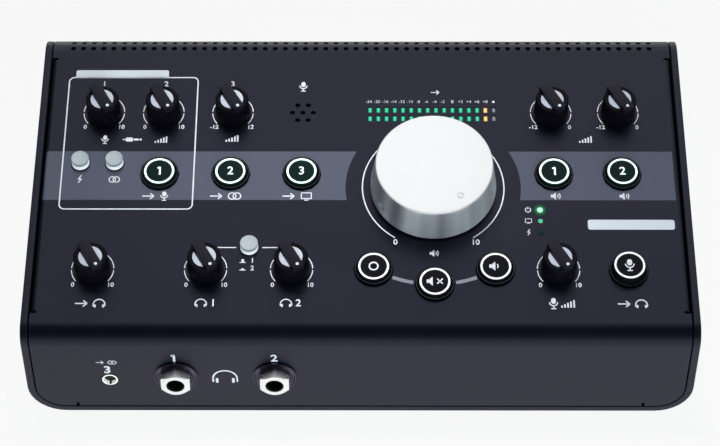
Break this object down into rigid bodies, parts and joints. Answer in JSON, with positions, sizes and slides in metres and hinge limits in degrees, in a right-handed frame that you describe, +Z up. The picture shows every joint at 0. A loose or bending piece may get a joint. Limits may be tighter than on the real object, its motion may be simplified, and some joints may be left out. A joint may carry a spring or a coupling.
{
  "type": "studio monitor controller",
  "caption": "Desktop studio monitor controller: sloping dark metal box with a large silver volume knob, small knobs, push buttons, level meter, and front and rear audio sockets.",
  "frame": {"origin": "centre of the footprint, on the surface that the feet rest on", "axes": "+X across to the user's right, +Y away from the user to the back with the sockets, +Z up"},
  "size_m": [0.264, 0.1534, 0.0838],
  "materials": {
    "cover": "satin powder coat",
    "tray": "satin powder coat",
    "aluminium": "spun and brushed",
    "knob": "matte",
    "button": "satin",
    "bezel": "semi-gloss",
    "cap": "silver satin",
    "steel": "satin",
    "chrome": "nickel-plated",
    "socket": "matte",
    "clear": "translucent",
    "board": "solder mask",
    "rubber": "matte"
  },
  "bodies": {
    "housing": {"base_chassis": "tray", "rear_panel": "tray", "top_cover": "cover", "connector_board": "board", "control_board": "board", "mini_jack": "chrome", "headphone_jack_1": "chrome", "headphone_jack_2": "chrome", "combo_jack_1": "socket", "combo_jack_2": "socket", "line_jack_pair_in": "socket", "line_jack_pair_a": "socket", "line_jack_pair_b": "socket", "usb_socket": "steel", "power_inlet": "socket", "power_switch_frame": "socket", "foot_front_left": "rubber", "foot_front_right": "rubber", "foot_rear_left": "rubber", "foot_rear_right": "rubber", "left_button_bezel": "bezel", "middle_button_bezel": "bezel", "right_button_bezel": "bezel", "meter_light_guide": "clear", "status_light_guide": "clear", "talkback_mic": "steel", "volume_pot": "steel"},
    "gain_1": {"gain_knob_1": "knob", "gain_shaft_1": "steel"},
    "gain_2": {"gain_knob_2": "knob", "gain_shaft_2": "steel"},
    "input_trim": {"input_trim_knob": "knob", "input_trim_shaft": "steel"},
    "output_trim_a": {"output_trim_knob_a": "knob", "output_trim_shaft_a": "steel"},
    "output_trim_b": {"output_trim_knob_b": "knob", "output_trim_shaft_b": "steel"},
    "direct": {"direct_knob": "knob", "direct_shaft": "steel"},
    "phones_1": {"phones_knob_1": "knob", "phones_shaft_1": "steel"},
    "phones_2": {"phones_knob_2": "knob", "phones_shaft_2": "steel"},
    "talkback_level": {"talkback_knob": "knob", "talkback_shaft": "steel"},
    "volume": {"volume_knob": "aluminium", "volume_shaft": "steel"},
    "source_1": {"source_button_1": "button"},
    "source_2": {"source_button_2": "button"},
    "source_3": {"source_button_3": "button"},
    "mono": {"mono_button": "button"},
    "mute": {"mute_button": "button"},
    "dim": {"dim_button": "button"},
    "speaker_a": {"speaker_button_a": "button"},
    "speaker_b": {"speaker_button_b": "button"},
    "talkback": {"talkback_button": "button"},
    "phantom_push": {"phantom_push_button": "cap"},
    "pan_push": {"pan_push_button": "cap"},
    "phones_push": {"phones_push_button": "cap"},
    "power": {"power_rocker": "socket"}
  },
  "joints": [
    {"name": "gain_1_turn", "type": "hinge", "parent": "housing", "child": "gain_1", "pos_m": [-0.1053, 0.03122, 0.06973], "axis": [0, -0.1951, 0.9808], "range_deg": [0, 300]},
    {"name": "gain_2_turn", "type": "hinge", "parent": "housing", "child": "gain_2", "pos_m": [-0.0809, 0.03122, 0.06973], "axis": [0, -0.1951, 0.9808], "range_deg": [0, 300]},
    {"name": "input_trim_turn", "type": "hinge", "parent": "housing", "child": "input_trim", "pos_m": [-0.0525, 0.03122, 0.06973], "axis": [0, -0.1951, 0.9808], "range_deg": [0, 300]},
    {"name": "output_trim_a_turn", "type": "hinge", "parent": "housing", "child": "output_trim_a", "pos_m": [0.0778, 0.03122, 0.06973], "axis": [0, -0.1951, 0.9808], "range_deg": [0, 300]},
    {"name": "output_trim_b_turn", "type": "hinge", "parent": "housing", "child": "output_trim_b", "pos_m": [0.1053, 0.03122, 0.06973], "axis": [0, -0.1951, 0.9808], "range_deg": [0, 300]},
    {"name": "direct_turn", "type": "hinge", "parent": "housing", "child": "direct", "pos_m": [-0.1053, -0.04209, 0.05514], "axis": [0, -0.1951, 0.9808], "range_deg": [0, 300]},
    {"name": "phones_1_turn", "type": "hinge", "parent": "housing", "child": "phones_1", "pos_m": [-0.0609, -0.04209, 0.05514], "axis": [0, -0.1951, 0.9808], "range_deg": [0, 300]},
    {"name": "phones_2_turn", "type": "hinge", "parent": "housing", "child": "phones_2", "pos_m": [-0.0271, -0.04209, 0.05514], "axis": [0, -0.1951, 0.9808], "range_deg": [0, 300]},
    {"name": "talkback_level_turn", "type": "hinge", "parent": "housing", "child": "talkback_level", "pos_m": [0.0778, -0.04209, 0.05514], "axis": [0, -0.1951, 0.9808], "range_deg": [0, 300]},
    {"name": "volume_turn", "type": "hinge", "parent": "housing", "child": "volume", "pos_m": [0.0291, -0.00433, 0.06265], "axis": [0, -0.1951, 0.9808], "range_deg": [0, 290]},
    {"name": "source_1_press", "type": "slide", "parent": "housing", "child": "source_1", "axis": [0, 0.1951, -0.9808], "range_m": [0, 0.0012], "stiffness_N_per_m": 700, "springref_m": -0.0005},
    {"name": "source_2_press", "type": "slide", "parent": "housing", "child": "source_2", "axis": [0, 0.1951, -0.9808], "range_m": [0, 0.0012], "stiffness_N_per_m": 700, "springref_m": -0.0005},
    {"name": "source_3_press", "type": "slide", "parent": "housing", "child": "source_3", "axis": [0, 0.1951, -0.9808], "range_m": [0, 0.0012], "stiffness_N_per_m": 700, "springref_m": -0.0005},
    {"name": "mono_press", "type": "slide", "parent": "housing", "child": "mono", "axis": [0, 0.1951, -0.9808], "range_m": [0, 0.0012], "stiffness_N_per_m": 700, "springref_m": -0.0005},
    {"name": "mute_press", "type": "slide", "parent": "housing", "child": "mute", "axis": [0, 0.1951, -0.9808], "range_m": [0, 0.0012], "stiffness_N_per_m": 700, "springref_m": -0.0005},
    {"name": "dim_press", "type": "slide", "parent": "housing", "child": "dim", "axis": [0, 0.1951, -0.9808], "range_m": [0, 0.0012], "stiffness_N_per_m": 700, "springref_m": -0.0005},
    {"name": "speaker_a_press", "type": "slide", "parent": "housing", "child": "speaker_a", "axis": [0, 0.1951, -0.9808], "range_m": [0, 0.0012], "stiffness_N_per_m": 700, "springref_m": -0.0005},
    {"name": "speaker_b_press", "type": "slide", "parent": "housing", "child": "speaker_b", "axis": [0, 0.1951, -0.9808], "range_m": [0, 0.0012], "stiffness_N_per_m": 700, "springref_m": -0.0005},
    {"name": "talkback_press", "type": "slide", "parent": "housing", "child": "talkback", "axis": [0, 0.1951, -0.9808], "range_m": [0, 0.0024], "stiffness_N_per_m": 450, "springref_m": -0.0005},
    {"name": "phantom_push_press", "type": "slide", "parent": "housing", "child": "phantom_push", "axis": [0, 0.1951, -0.9808], "range_m": [0, 0.002], "stiffness_N_per_m": 600, "springref_m": -0.0005},
    {"name": "pan_push_press", "type": "slide", "parent": "housing", "child": "pan_push", "axis": [0, 0.1951, -0.9808], "range_m": [0, 0.002], "stiffness_N_per_m": 600, "springref_m": -0.0005},
    {"name": "phones_push_press", "type": "slide", "parent": "housing", "child": "phones_push", "axis": [0, 0.1951, -0.9808], "range_m": [0, 0.002], "stiffness_N_per_m": 600, "springref_m": -0.0005},
    {"name": "power_rock", "type": "hinge", "parent": "housing", "child": "power", "pos_m": [0.098, 0.07262, 0.029], "axis": [0, 0, 1], "range_deg": [-20, 0]}
  ]
}
